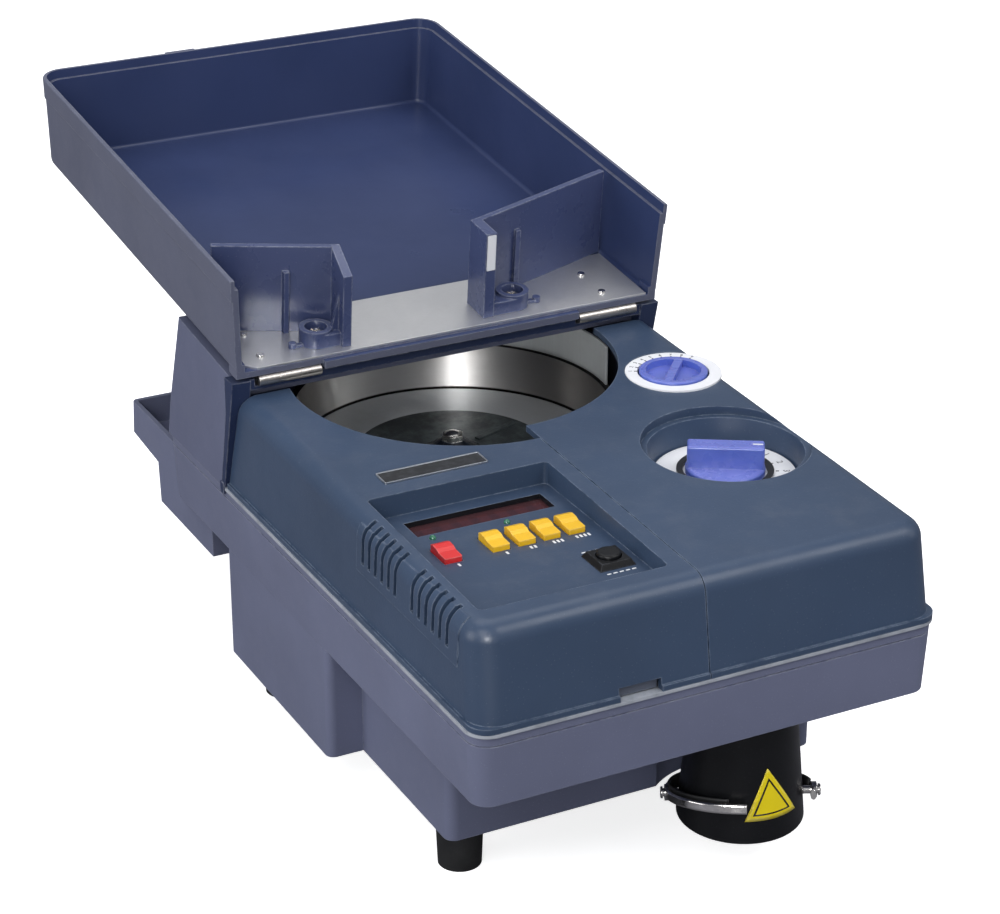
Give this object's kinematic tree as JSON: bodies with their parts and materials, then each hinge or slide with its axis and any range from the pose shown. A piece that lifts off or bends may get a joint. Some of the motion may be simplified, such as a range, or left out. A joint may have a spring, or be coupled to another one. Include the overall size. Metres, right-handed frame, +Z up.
{
  "type": "coin sorting machine",
  "caption": "Table-top coin sorter: hinged coin hopper over a steel feed bowl, key panel, two setting knobs, bag spout and off-sort box.",
  "frame": {"origin": "centre of the overall footprint box, on the plane the four feet stand on", "axes": "+Z up, -Y towards the operator (bag spout and key panel), +Y towards the coin hopper, +X to the operator's right"},
  "size_m": [0.2222, 0.4953, 0.2431],
  "materials": {
    "tub_plastic": "fine moulded texture, slate violet-blue",
    "cover_plastic": "fine sparkle texture, dark petrol blue",
    "hopper_plastic": "smooth semi-gloss, violet-blue",
    "frame_plastic": "dark blue moulding",
    "gasket_grey": "light grey strip",
    "foot_rubber": "black rubber",
    "belt_rubber": "black belt",
    "mat_rubber": "black ribbed mat",
    "black_plastic": "satin black",
    "plate_black": "black with bare silver border",
    "polished_steel": "polished",
    "satin_steel": "satin ground",
    "disc_steel": "turned",
    "plated_steel": "zinc plated",
    "screw_steel": "steel",
    "chrome": "bright plated",
    "machine_aluminium": "machined",
    "core_steel": "varnished laminations",
    "motor_paint": "dark enamel",
    "board_green": "solder mask",
    "window_red": "smoked dark red",
    "lamp_green": "translucent",
    "dial_white": "white with small grey marks",
    "knob_blue": "violet-blue",
    "latch_grey": "grey moulding",
    "key_red": "red",
    "key_yellow": "warm yellow"
  },
  "bodies": {
    "base": {"base_tub": "tub_plastic", "lip_gasket": "gasket_grey", "rubber_feet": "foot_rubber", "deck_plate": "plated_steel", "deck_screws": "screw_steel", "bowl_ring": "polished_steel", "bowl_guard": "satin_steel", "disc_bearing": "machine_aluminium", "drive_belt": "belt_rubber", "drive_motor": "motor_paint", "coin_rail": "satin_steel", "transport_belt": "belt_rubber", "belt_bracket": "plated_steel", "counting_sensor": "black_plastic", "left_cover": "cover_plastic", "right_cover": "cover_plastic", "name_plate": "plate_black", "display_window": "window_red", "display_board": "board_green", "control_board": "board_green", "transformer": "core_steel", "motor_key_frame": "black_plastic", "status_lamps": "lamp_green", "dial_plates": "dial_white", "bag_tube": "black_plastic", "ring_pivots": "chrome", "rear_tower": "tub_plastic", "hopper_rests": "foot_rubber", "front_frame": "frame_plastic", "fixed_hinge_leaves": "chrome", "box_runners": "frame_plastic", "power_inlet": "black_plastic"},
    "disc": {"feed_disc": "disc_steel", "disc_mat": "mat_rubber", "hub_cap": "polished_steel", "disc_shaft": "screw_steel", "disc_pulley": "machine_aluminium"},
    "motor_rotor": {"motor_pulley": "machine_aluminium"},
    "rear_roller": {"rear_roller": "machine_aluminium"},
    "front_roller": {"front_roller": "machine_aluminium"},
    "guide": {"diameter_guide": "satin_steel"},
    "large_dial": {"large_knob": "knob_blue", "diameter_cam": "black_plastic"},
    "small_dial": {"small_knob": "knob_blue"},
    "latch": {"cover_latch": "latch_grey"},
    "reset_key": {"reset_key": "key_red"},
    "store_key": {"store_key": "key_yellow"},
    "total_key": {"total_key": "key_yellow"},
    "batch_key": {"batch_key": "key_yellow"},
    "clear_key": {"clear_key": "key_yellow"},
    "motor_key": {"motor_key": "black_plastic"},
    "bag_ring": {"bag_ring": "chrome"},
    "hopper": {"hopper_tray": "hopper_plastic", "steel_plate": "satin_steel", "left_baffle": "hopper_plastic", "right_baffle": "hopper_plastic", "hopper_fasteners": "screw_steel", "hopper_hinge_leaves": "chrome"},
    "offsort_box": {"offsort_box": "tub_plastic"},
    "rocker": {"power_rocker": "black_plastic"}
  },
  "joints": [
    {"name": "hopper_tilt", "type": "hinge", "parent": "base", "child": "hopper", "pos_m": [0, -0.0049, 0.1658], "axis": [1, 0, 0], "range_deg": [0, 45]},
    {"name": "disc_spin", "type": "hinge", "parent": "base", "child": "disc", "pos_m": [0, -0.0049, 0.105], "axis": [0, 0, 1], "continuous": true},
    {"name": "motor_spin", "type": "hinge", "parent": "base", "child": "motor_rotor", "pos_m": [-0.052, -0.0693, 0.08], "axis": [0, 0, 1], "continuous": true},
    {"name": "rear_roller_spin", "type": "hinge", "parent": "base", "child": "rear_roller", "pos_m": [0.033, -0.1033, 0.1264], "axis": [1, 0, 0], "continuous": true},
    {"name": "front_roller_spin", "type": "hinge", "parent": "base", "child": "front_roller", "pos_m": [0.033, -0.1853, 0.1264], "axis": [1, 0, 0], "continuous": true},
    {"name": "large_knob_turn", "type": "hinge", "parent": "base", "child": "large_dial", "pos_m": [0.068, -0.1389, 0.145], "axis": [0, 0, 1], "range_deg": [-140, 140]},
    {"name": "diameter_slide", "type": "slide", "parent": "base", "child": "guide", "axis": [1, 0, 0], "range_m": [-0.00395, 0.00395]},
    {"name": "small_knob_turn", "type": "hinge", "parent": "base", "child": "small_dial", "pos_m": [0.0848, -0.0641, 0.158], "axis": [0, 0, 1], "range_deg": [-135, 135]},
    {"name": "latch_press", "type": "slide", "parent": "base", "child": "latch", "axis": [0, 1, 0], "range_m": [0, 0.003]},
    {"name": "reset_key_press", "type": "slide", "parent": "base", "child": "reset_key", "axis": [0, 0, -1], "range_m": [0, 0.0012]},
    {"name": "store_key_press", "type": "slide", "parent": "base", "child": "store_key", "axis": [0, 0, -1], "range_m": [0, 0.0012]},
    {"name": "total_key_press", "type": "slide", "parent": "base", "child": "total_key", "axis": [0, 0, -1], "range_m": [0, 0.0012]},
    {"name": "batch_key_press", "type": "slide", "parent": "base", "child": "batch_key", "axis": [0, 0, -1], "range_m": [0, 0.0012]},
    {"name": "clear_key_press", "type": "slide", "parent": "base", "child": "clear_key", "axis": [0, 0, -1], "range_m": [0, 0.0012]},
    {"name": "motor_key_press", "type": "slide", "parent": "base", "child": "motor_key", "axis": [0, 0, -1], "range_m": [0, 0.0015]},
    {"name": "bag_ring_swing", "type": "hinge", "parent": "base", "child": "bag_ring", "pos_m": [0.0347, -0.2139, 0.0275], "axis": [0.9063, -0.4226, 0], "range_deg": [0, 34]},
    {"name": "box_slide", "type": "slide", "parent": "base", "child": "offsort_box", "axis": [0, 1, 0], "range_m": [0, 0.05]},
    {"name": "rocker_tilt", "type": "hinge", "parent": "base", "child": "rocker", "pos_m": [-0.0375, 0.0149, 0.043], "axis": [1, 0, 0], "range_deg": [-8, 8]}
  ],
  "couplings": [
    {"joint": "motor_spin", "follows": "disc_spin", "ratio": 3.3077},
    {"joint": "rear_roller_spin", "follows": "disc_spin", "ratio": 8},
    {"joint": "front_roller_spin", "follows": "disc_spin", "ratio": 8},
    {"joint": "large_knob_turn", "follows": "diameter_slide", "rad_per_m": 610.87}
  ]
}
